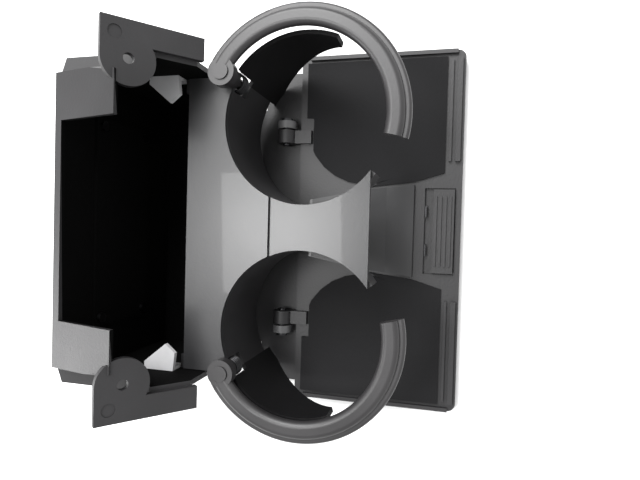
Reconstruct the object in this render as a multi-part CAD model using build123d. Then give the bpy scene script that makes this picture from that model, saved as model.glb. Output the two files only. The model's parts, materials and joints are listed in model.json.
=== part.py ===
from build123d import *
from math import cos, radians, sin
import os

# Fold-out twin cup holder insert, millimetres. +Z up, -Y is the front (door side), X is the width.

# Cup rings
CUP_X, CUP_Y = 48.3, -15.3        # centre of each cup well
CUP_R = 38.0                      # well and ring inner radius
RING_OUT_R = 48.5
RING_H = 5.4                      # height of one arm
ARM_Z = {"right": 62.6, "left": 56.6}   # underside of each arm: they pass over each other
ARM_FROM, ARM_TO = -103.0, 58.0   # tip and root, degrees round the well
PIVOT_X, PIVOT_Y = 68.0, 20.0
PIN_R = 2.5
RUN_GAP = 0.05                    # radial running clearance

# Tray
TRAY_TOP, TRAY_T = 56.0, 3.0
TRAY_HALF, TRAY_BACK, TRAY_FRONT = 69.0, 41.5, -46.0
WALL_T = 2.2

# Housing and bezel
HOUSE_HALF, HOUSE_FRONT, HOUSE_BACK, HOUSE_TOP = 72.0, 30.0, 86.0, 100.0
HOUSE_T = 2.4
BEZEL_HALF, BEZEL_IN, BEZEL_T = 81.5, 71.7, 3.0
BEZEL_LOW, BEZEL_HIGH = (26.5, 70.5), (54.0, 103.5)   # (y, z) along the leaning front face

# Door
DOOR_HALF, DOOR_FRONT, DOOR_BACK = 93.0, -86.0, 0.5
HINGE_Y, HINGE_Z, HINGE_PIN_R = 8.0, 8.0, 2.0
DOOR_SKIN, DOOR_DECK = 2.5, 6.0


def block(x0, x1, y0, y1, z0, z1):
    return Pos((x0 + x1) / 2, (y0 + y1) / 2, (z0 + z1) / 2) * Box(x1 - x0, y1 - y0, z1 - z0)


def rod(x, y, z0, z1, r):
    return Pos(x, y, (z0 + z1) / 2) * Cylinder(r, z1 - z0)


def cross_rod(x0, x1, y, z, r):
    return Pos((x0 + x1) / 2, y, z) * Rot(0, 90, 0) * Cylinder(r, x1 - x0)


def sector(cx, cy, start, end, r, z0, z1):
    """A pie slice used to keep only part of a ring."""
    steps = 12
    pts = [(cx, cy)]
    for i in range(steps + 1):
        a = radians(start + (end - start) * i / steps)
        pts.append((cx + r * cos(a), cy + r * sin(a)))
    return Pos(0, 0, z0) * extrude(make_face(Polyline(*pts, close=True)), z1 - z0)


def arc_wall(start, end, r0, r1, z0, z1):
    """Part of a round wall about the right-hand cup centre."""
    ring = rod(CUP_X, CUP_Y, z0, z1, r1) - rod(CUP_X, CUP_Y, z0 - 1, z1 + 1, r0)
    return ring & sector(CUP_X, CUP_Y, start, end, 90, z0 - 1, z1 + 1)


def flip(shape):
    return mirror(shape, about=Plane.YZ)


def below_slope(y0, z0, slope):
    """Everything under a plane that rises towards the front, used to clear the door's swing."""
    pts = [(y0 + 20, z0 - 20 * slope), (y0 - 110, z0 + 110 * slope), (y0 - 110, -40), (y0 + 20, -40)]
    return extrude(Plane.YZ * make_face(Polyline(*pts, close=True)), 120, both=True)


def tray_screw(s):
    x, y = s * 66.2, 37
    return rod(x, y, 50, 54.5, 1.2) + rod(x, y, 48.4, 50, 2.2)


def cup_tray():
    tray = block(-TRAY_HALF, TRAY_HALF, 12, TRAY_BACK, TRAY_TOP - TRAY_T, TRAY_TOP)
    tray += block(-31, 31, TRAY_FRONT, 12, TRAY_TOP - TRAY_T, TRAY_TOP)
    for s in (1, -1):
        tray -= rod(s * CUP_X, CUP_Y, -1, 90, CUP_R)
        tray -= rod(s * PIVOT_X, PIVOT_Y, 40, 70, PIN_R)
        tray -= rod(s * PIVOT_X, PIVOT_Y, 43, TRAY_TOP - TRAY_T, 5.2)        # spring pocket
        tray -= tray_screw(s)
    tray -= block(-16, 16, -7.5, 0.5, TRAY_TOP - 1.6, TRAY_TOP + 1)          # cross groove
    tray += block(-60, 60, TRAY_BACK - 2.4, TRAY_BACK, 30, TRAY_TOP - 1)     # back apron
    tray -= block(-30, 30, TRAY_BACK - 3, TRAY_BACK + 1, 29, 40)
    return tray


def well_wall():
    """Inner part of a well wall, hanging from the tray; it clears the arm's spring."""
    wall = arc_wall(58, 234, CUP_R, CUP_R + WALL_T, 10, TRAY_TOP - TRAY_T) - below_slope(8, 15, 0.40)
    return wall - rod(PIVOT_X, PIVOT_Y, 40, 70, 5.2)


def skirt():
    """Outer part of a well wall, under the ring arm; its lower edge climbs to nothing at the front."""
    wall = arc_wall(-22, 58, CUP_R, CUP_R + 2, 3, TRAY_TOP)
    return wall - below_slope(8, 7, 1.0) - rod(PIVOT_X, PIVOT_Y, 40, 70, 5.2)


def ring_arm(z):
    """A rounded bead with a lower lip round its outside, from the pivot to a blunt tip."""
    bead = Pos((CUP_R + 46) / 2, z + RING_H / 2) * RectangleRounded(46 - CUP_R, RING_H, 2.6)
    lip = Pos((CUP_R + 3 + RING_OUT_R) / 2, z + 1.5) * RectangleRounded(RING_OUT_R - CUP_R - 3, 3.0, 1.4)
    section = Plane.XZ * (bead + lip)
    turned = revolve(section, Axis.Z, revolution_arc=ARM_TO - ARM_FROM)
    arm = Pos(CUP_X, CUP_Y, 0) * Rot(0, 0, ARM_FROM) * turned
    if arm.center().X < CUP_X:                                                # revolved the other way
        arm = Pos(CUP_X, CUP_Y, 0) * Rot(0, 0, ARM_TO) * turned
    arm += rod(PIVOT_X, PIVOT_Y, z + 0.2, z + RING_H - 0.2, 6.2)
    return arm - rod(PIVOT_X, PIVOT_Y, z - 1, z + 9, PIN_R + RUN_GAP)


def arm_pin(z):
    head = rod(PIVOT_X, PIVOT_Y, z + RING_H + 0.1, z + RING_H + 0.6, 3.6)
    return rod(PIVOT_X, PIVOT_Y, 44, z + RING_H + 0.6, PIN_R) + head


def arm_bush(z):
    return rod(PIVOT_X, PIVOT_Y, TRAY_TOP, z - 0.1, 4.5) - rod(PIVOT_X, PIVOT_Y, TRAY_TOP - 1, z + 1, PIN_R)


def arm_spring():
    path = Pos(PIVOT_X, PIVOT_Y, 45) * Helix(pitch=1.7, height=6.8, radius=4.2)
    section = Plane(origin=path @ 0, z_dir=path % 0) * Circle(0.5)
    return sweep(section, path=path, is_frenet=True)


def housing_section(inset):
    w, t = HOUSE_HALF - inset, HOUSE_TOP - inset
    pts = [(-w, inset), (w, inset), (w, 84), (w - 8, 87), (w - 9, t - 4), (w - 12, t)]
    pts += [(-x, z) for x, z in reversed(pts[2:])]
    return make_face(Polyline(*pts, close=True))


def behind_bezel(offset):
    """Everything in front of the leaning bezel's back face, to be cut away."""
    (y0, z0), (y1, z1) = BEZEL_LOW, BEZEL_HIGH
    k = (y1 - y0) / (z1 - z0)
    pts = [(y0 - 60 * k + offset, z0 - 60), (y1 + 30 * k + offset, z1 + 30), (-60, z1 + 30), (-60, z0 - 60)]
    return extrude(Plane.YZ * make_face(Polyline(*pts, close=True)), 120, both=True)


def housing_shell():
    outer = extrude(Plane.XZ * housing_section(0), -HOUSE_BACK)
    inner = extrude(Plane.XZ * housing_section(HOUSE_T), -(HOUSE_BACK - HOUSE_T))
    shell = outer - inner - block(-100, 100, -10, HOUSE_FRONT, -1, 120)
    shell -= behind_bezel(BEZEL_T + 0.6)
    shell -= block(-43, 43, 0, 78, 90, 120)                                  # top cut-out
    slope = [(40, HOUSE_TOP + 20), (90, HOUSE_TOP + 20), (90, 89), (50, HOUSE_TOP)]
    shell -= extrude(Plane.YZ * make_face(Polyline(*slope, close=True)), 120, both=True)
    roof = [(50, HOUSE_TOP), (HOUSE_BACK, 90.1), (HOUSE_BACK, 87.7), (50, HOUSE_TOP - 2.4)]
    roof = extrude(Plane.YZ * make_face(Polyline(*roof, close=True)), 61, both=True)
    shell += roof - block(-43, 43, 0, 82, 80, 120)
    shell += block(-86, 86, 1.5, 22, 0, 2.0) + block(-66, 66, 20, HOUSE_FRONT + 2, 0, 2.0)   # floor tongue
    shell -= block(-54, 54, HOUSE_BACK - 3, HOUSE_BACK + 1, 22, 72)          # opening closed by the rear cover
    return shell


def rear_cover():
    return block(-54, 54, HOUSE_BACK - 2.4, HOUSE_BACK, 22, 72) + block(-50, 50, HOUSE_BACK - 4, HOUSE_BACK - 2.4, 26, 68)


def bezel_frame():
    (y0, z0), (y1, z1) = BEZEL_LOW, BEZEL_HIGH
    length = ((y1 - y0) ** 2 + (z1 - z0) ** 2) ** 0.5
    face = Plane(origin=(0, y0, z0), x_dir=(1, 0, 0), z_dir=(0, -(z1 - z0) / length, (y1 - y0) / length))
    frame = Pos((BEZEL_HALF + BEZEL_IN) / 2, length / 2) * Rectangle(BEZEL_HALF - BEZEL_IN, length)
    frame += Pos(73, length - 10) * Rectangle(15, 20)
    frame += Pos(66, length - 11) * Circle(11)
    frame -= Pos(66, length - 11) * Circle(2.25)
    solid = extrude(face * frame, -BEZEL_T)
    solid -= extrude(face * (Pos(75.5, length - 5.5) * Circle(2.8)), -0.4)
    rib = block(HOUSE_HALF + 0.1, HOUSE_HALF + 2.6, 33, 52, 66, 84) - behind_bezel(BEZEL_T * 0.5)
    side = solid + rib - housing_shell()
    return Compound(children=[side, flip(side)])


def side_tab(s):
    pts = [(70.8, 45), (70.8, 60), (66, 60), (57, 49), (61, 44)]
    tab = Pos(0, 0, 58) * extrude(make_face(Polyline(*pts, close=True)), 2.2)
    tab = tab + block(68.4, 69.6, 45, 60, 50, 60.2)
    tab &= block(50, 69.6, 40, 65, 40, 70)
    return tab if s > 0 else flip(tab)


def door_outer_cover():
    return fillet(block(-DOOR_HALF, DOOR_HALF, DOOR_FRONT, DOOR_BACK, 0, DOOR_SKIN).edges().filter_by(Axis.Z), 4)


def door_inner_panel():
    panel = fillet(block(-DOOR_HALF, DOOR_HALF, DOOR_FRONT, DOOR_BACK, DOOR_SKIN, DOOR_DECK).edges().filter_by(Axis.Z), 4)
    for s in (1, -1):
        rim = block(DOOR_HALF - 2, DOOR_HALF, DOOR_FRONT + 4, DOOR_BACK - 5, DOOR_DECK, 8)
        rim += block(36, DOOR_HALF - 4, DOOR_FRONT + 1.5, DOOR_FRONT + 4, DOOR_DECK, 8.2)
        rim += block(36, DOOR_HALF - 5, DOOR_FRONT + 6, DOOR_FRONT + 7.2, DOOR_DECK, 7.6)
        knuckle = cross_rod(46, 53, HINGE_Y, HINGE_Z, 5) + block(46, 53, -6, HINGE_Y, 4.4, DOOR_DECK + 3)
        knuckle -= cross_rod(40, 60, HINGE_Y, HINGE_Z, HINGE_PIN_R + RUN_GAP)
        side = rim + knuckle
        panel += side if s > 0 else flip(side)
    return panel - block(-22.3, 22.3, DOOR_FRONT + 3, -67.5, 4.0, 20)         # latch pocket


def centre_spine():
    pts = [(-24, -62), (-21, -38), (-15, -8), (15, -8), (21, -38), (24, -62)]
    body = Pos(0, 0, DOOR_DECK) * extrude(make_face(Polyline(*pts, close=True)), 9)
    ramp = [(-70, 7.2), (-48, 9.5), (-30, 13.4), (-8, 15.1), (-8, 30), (-70, 30)]
    return body - extrude(Plane.YZ * make_face(Polyline(*ramp, close=True)), 60, both=True)


def door_mat(s):
    pts = [(DOOR_HALF - 3.5, -3.0), (DOOR_HALF - 3.5, -77), (30, -77), (25.5, -62), (22.5, -38)]
    for i in range(9):                                                       # back edge follows the well
        a = radians(205 - 110 * i / 8)
        pts.append((58 + 34 * cos(a), -36 + 33 * sin(a)))
    mat = Pos(0, 0, DOOR_DECK) * extrude(make_face(Polyline(*pts, close=True)), 1.2)
    mat -= block(40, 60, -7, 1, 5, 10)
    return mat if s > 0 else flip(mat)


def latch_slider():
    slider = block(-21.5, 21.5, DOOR_FRONT + 3.6, -72, 4.3, 8.6)
    for i in range(4):
        y = DOOR_FRONT + 5 + 2.4 * i
        slider += block(-18, 18, y, y + 1.1, 8.6, 9.5)
    return slider


def latch_spring():
    return Compound(children=[block(x - 3, x + 3, -68.6, -67.8, 4.6, 7.2) for x in (-10, 10)])


def hinge_bracket(s):
    plate = block(54, 58, 3.5, 13, 2.0, HINGE_Z) + cross_rod(54, 58, HINGE_Y, HINGE_Z, 5)
    plate -= cross_rod(50, 60, HINGE_Y, HINGE_Z, HINGE_PIN_R)
    return plate if s > 0 else flip(plate)


def hinge_pins():
    pin = cross_rod(45, 58, HINGE_Y, HINGE_Z, HINGE_PIN_R) + cross_rod(58, 59.5, HINGE_Y, HINGE_Z, 3.4)
    return Compound(children=[pin, flip(pin)])


def tray_rails():
    rail = block(63, HOUSE_HALF - HOUSE_T, HOUSE_FRONT + 1, TRAY_BACK + 3, TRAY_TOP - TRAY_T - 2.5, TRAY_TOP - TRAY_T)
    rail -= tray_screw(1)
    return Compound(children=[rail, flip(rail)])


def tray_screws():
    return Compound(children=[tray_screw(1), tray_screw(-1)])


def rear_cover_screws():
    heads = []
    for x in (-46, 46):
        for z in (30, 64):
            head = Pos(x, HOUSE_BACK - 4.8, z) * Rot(90, 0, 0) * Cylinder(2.4, 1.6)
            heads.append(head)
    return Compound(children=heads)


parts = {
    "housing_shell": housing_shell(), "bezel_frame": bezel_frame(), "rear_cover": rear_cover(),
    "cup_tray": cup_tray(), "right_well": well_wall(), "left_well": flip(well_wall()),
    "right_skirt": skirt(), "left_skirt": flip(skirt()),
    "right_ring_arm": ring_arm(ARM_Z["right"]), "left_ring_arm": flip(ring_arm(ARM_Z["left"])),
    "right_arm_pin": arm_pin(ARM_Z["right"]), "left_arm_pin": flip(arm_pin(ARM_Z["left"])),
    "right_arm_bush": arm_bush(ARM_Z["right"]), "left_arm_bush": flip(arm_bush(ARM_Z["left"])),
    "right_arm_spring": arm_spring(), "left_arm_spring": flip(arm_spring()),
    "right_tab": side_tab(1), "left_tab": side_tab(-1), "tray_rails": tray_rails(),
    "tray_screws": tray_screws(), "rear_cover_screws": rear_cover_screws(),
    "right_hinge_bracket": hinge_bracket(1), "left_hinge_bracket": hinge_bracket(-1),
    "hinge_pins": hinge_pins(), "door_outer_cover": door_outer_cover(),
    "door_inner_panel": door_inner_panel(), "centre_spine": centre_spine(),
    "right_mat": door_mat(1), "left_mat": door_mat(-1),
    "latch_slider": latch_slider(), "latch_spring": latch_spring(),
}

os.makedirs("parts", exist_ok=True)
for name, shape in parts.items():
    export_step(shape, f"parts/{name}.step")
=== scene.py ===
import json
from math import cos, radians, sin

import bpy
from mathutils import Matrix, Vector

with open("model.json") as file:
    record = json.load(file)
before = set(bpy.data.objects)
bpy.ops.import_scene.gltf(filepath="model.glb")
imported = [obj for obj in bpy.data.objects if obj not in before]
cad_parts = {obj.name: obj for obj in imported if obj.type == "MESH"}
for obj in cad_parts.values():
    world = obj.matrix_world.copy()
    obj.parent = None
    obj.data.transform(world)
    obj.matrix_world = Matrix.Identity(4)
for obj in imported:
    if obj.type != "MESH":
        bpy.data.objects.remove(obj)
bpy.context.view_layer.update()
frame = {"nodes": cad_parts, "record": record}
nodes = frame["nodes"]

# ---------------------------------------------------------------- materials


def plastic(name, base, rough, grain=0.25, scale=900.0, coat=0.0, mottle=0.25, shine=0.5):
    """Moulded plastic: fine grain in the surface, slow variation in the gloss and in the colour."""
    m = bpy.data.materials.new(name)
    m.use_nodes = True
    t = m.node_tree
    s = t.nodes["Principled BSDF"]
    s.inputs["Coat Weight"].default_value = coat
    s.inputs["Specular IOR Level"].default_value = shine
    co = t.nodes.new("ShaderNodeTexCoord")

    def noise(sc, detail):
        n = t.nodes.new("ShaderNodeTexNoise")
        n.inputs["Scale"].default_value = sc
        n.inputs["Detail"].default_value = detail
        t.links.new(co.outputs["Object"], n.inputs["Vector"])
        return n

    slow, fine = noise(28.0, 4.0), noise(scale, 3.0)
    ramp = t.nodes.new("ShaderNodeValToRGB")
    ramp.color_ramp.elements[0].position = 0.3
    ramp.color_ramp.elements[1].position = 0.72
    ramp.color_ramp.elements[0].color = [c * (1 - mottle) for c in base] + [1]
    ramp.color_ramp.elements[1].color = [c * (1 + mottle) for c in base] + [1]
    t.links.new(slow.outputs["Fac"], ramp.inputs["Fac"])
    t.links.new(ramp.outputs["Color"], s.inputs["Base Color"])
    gloss = t.nodes.new("ShaderNodeMapRange")
    gloss.inputs["To Min"].default_value = rough - 0.05
    gloss.inputs["To Max"].default_value = rough + 0.07
    t.links.new(slow.outputs["Fac"], gloss.inputs["Value"])
    t.links.new(gloss.outputs["Result"], s.inputs["Roughness"])
    bump = t.nodes.new("ShaderNodeBump")
    bump.inputs["Strength"].default_value = grain
    bump.inputs["Distance"].default_value = 0.0003
    t.links.new(fine.outputs["Fac"], bump.inputs["Height"])
    t.links.new(bump.outputs["Normal"], s.inputs["Normal"])
    return m


def steel(name, base):
    m = plastic(name, base, 0.32, 0.12, 1400.0)
    m.node_tree.nodes["Principled BSDF"].inputs["Metallic"].default_value = 1.0
    return m


looks = {
    "shell": plastic("shell grain", (0.014, 0.0135, 0.0145), 0.50),
    "tray": plastic("tray satin", (0.020, 0.020, 0.021), 0.34, 0.08, 700.0, 0.10),
    "arm": plastic("arm satin", (0.022, 0.021, 0.022), 0.42, 0.12),
    "mat": plastic("mat rubber", (0.0055, 0.0054, 0.006), 0.78, 0.55, 520.0, shine=0.22),
    "pale": plastic("pale clip", (0.62, 0.62, 0.63), 0.35, 0.10),
    "bush": plastic("bush", (0.012, 0.012, 0.0125), 0.5),
    "steel": steel("blackened steel", (0.045, 0.045, 0.047)),
    "bracket": plastic("bracket grey", (0.09, 0.09, 0.092), 0.4),
    # Near-black copy of the shell plastic: painted shade for the housing's recessed cavity.
    "black": plastic("cavity painted shade", (0.0012, 0.0012, 0.0012), 0.9, shine=0.08),
    # Near-black copy of the plastic: painted shade for the skirt walls.
    "shade": plastic("skirt painted shade", (0.004, 0.0038, 0.0042), 0.6, shine=0.2),
}
slots = {p["node"]: p["material_slot"] for p in frame["record"]["subparts"]}

# Nodes whose look differs from the rest of their slot.
SPECIAL = {
    "right_hinge_bracket": "bracket", "left_hinge_bracket": "bracket",
    # The skirts take the near-black painted-shade material.
    "right_skirt": "shade", "left_skirt": "shade", "door_inner_panel": "shell",
}

for name, obj in nodes.items():
    obj.data.materials.clear()
    obj.data.materials.append(looks[SPECIAL.get(name, slots[name])])
    round_edges = obj.modifiers.new("soft edges", "BEVEL")
    round_edges.width = 0.0004
    round_edges.segments = 3
    round_edges.limit_method = "ANGLE"
    round_edges.angle_limit = radians(40)
    round_edges.use_clamp_overlap = True

# The insides of the housing, below its sloping roof, take a near-black copy of the plastic: painted shade
# for the dark cavity.
for name in ("housing_shell", "rear_cover"):
    mesh = nodes[name].data
    mesh.materials.append(looks["black"])
    for face in mesh.polygons:
        x, y, z = face.center
        under_roof = 0.0019 < z < 0.0985 - max(0.0, y - 0.05) * 0.275
        if abs(x) < 0.0700 and 0.036 < y < 0.0838 and under_roof and not (z > 0.085 and face.normal.z > 0.5):
            face.material_index = 1

# ---------------------------------------------------------------- floor, light and camera

bpy.ops.mesh.primitive_plane_add(size=8, location=(0, 0, -0.0002))
floor = bpy.context.object
white = bpy.data.materials.new("white table")
white.use_nodes = True
shade = white.node_tree.nodes["Principled BSDF"]
shade.inputs["Base Color"].default_value = (0.93, 0.93, 0.93, 1)
shade.inputs["Roughness"].default_value = 0.9
floor.data.materials.append(white)

world = bpy.data.worlds.new("studio")
world.use_nodes = True
world.node_tree.nodes["Background"].inputs["Color"].default_value = (1, 1, 1, 1)
world.node_tree.nodes["Background"].inputs["Strength"].default_value = 0.90
bpy.context.scene.world = world


def area(name, place, target, size, power):
    data = bpy.data.lights.new(name, "AREA")
    data.shape, data.size, data.energy = "SQUARE", size, power
    obj = bpy.data.objects.new(name, data)
    bpy.context.collection.objects.link(obj)
    obj.location = place
    obj.rotation_euler = (Vector(target) - Vector(place)).to_track_quat("-Z", "Y").to_euler()


area("key", (0.55, 0.20, 0.75), (0, 0, 0.04), 0.50, 13)
area("panel", (-0.01, 0.24, 0.80), (0, 0.0, 0.05), 0.24, 4)
area("roof", (-0.27, 0.85, 0.38), (-0.05, 0.07, 0.09), 0.22, 5)

# Camera: EL is its elevation, and FOCAL its focal length in pixels of a picture 640 wide.
EL, ROLL, YAW, FOCAL = radians(76.0), radians(1.58), radians(-1.35), 500.0
EYE = Vector((0.0, -0.07817, 0.26397 + 0.008))
fwd = Vector((0, cos(EL), -sin(EL)))
right = Vector((0, -sin(EL), -cos(EL)))
up = Vector((1, 0, 0))
fwd, up = fwd * cos(YAW) + up * sin(YAW), up * cos(YAW) - fwd * sin(YAW)
right, up = right * cos(ROLL) + up * sin(ROLL), up * cos(ROLL) - right * sin(ROLL)
data = bpy.data.cameras.new("camera")
data.sensor_width = 36.0
data.lens = FOCAL / 640 * 36.0
data.clip_start = 0.01
camera = bpy.data.objects.new("camera", data)
bpy.context.collection.objects.link(camera)
camera.matrix_world = Matrix.Translation(EYE) @ Matrix((right, up, -fwd)).transposed().to_4x4()
bpy.context.scene.camera = camera
bpy.context.scene.view_settings.view_transform = "Standard"
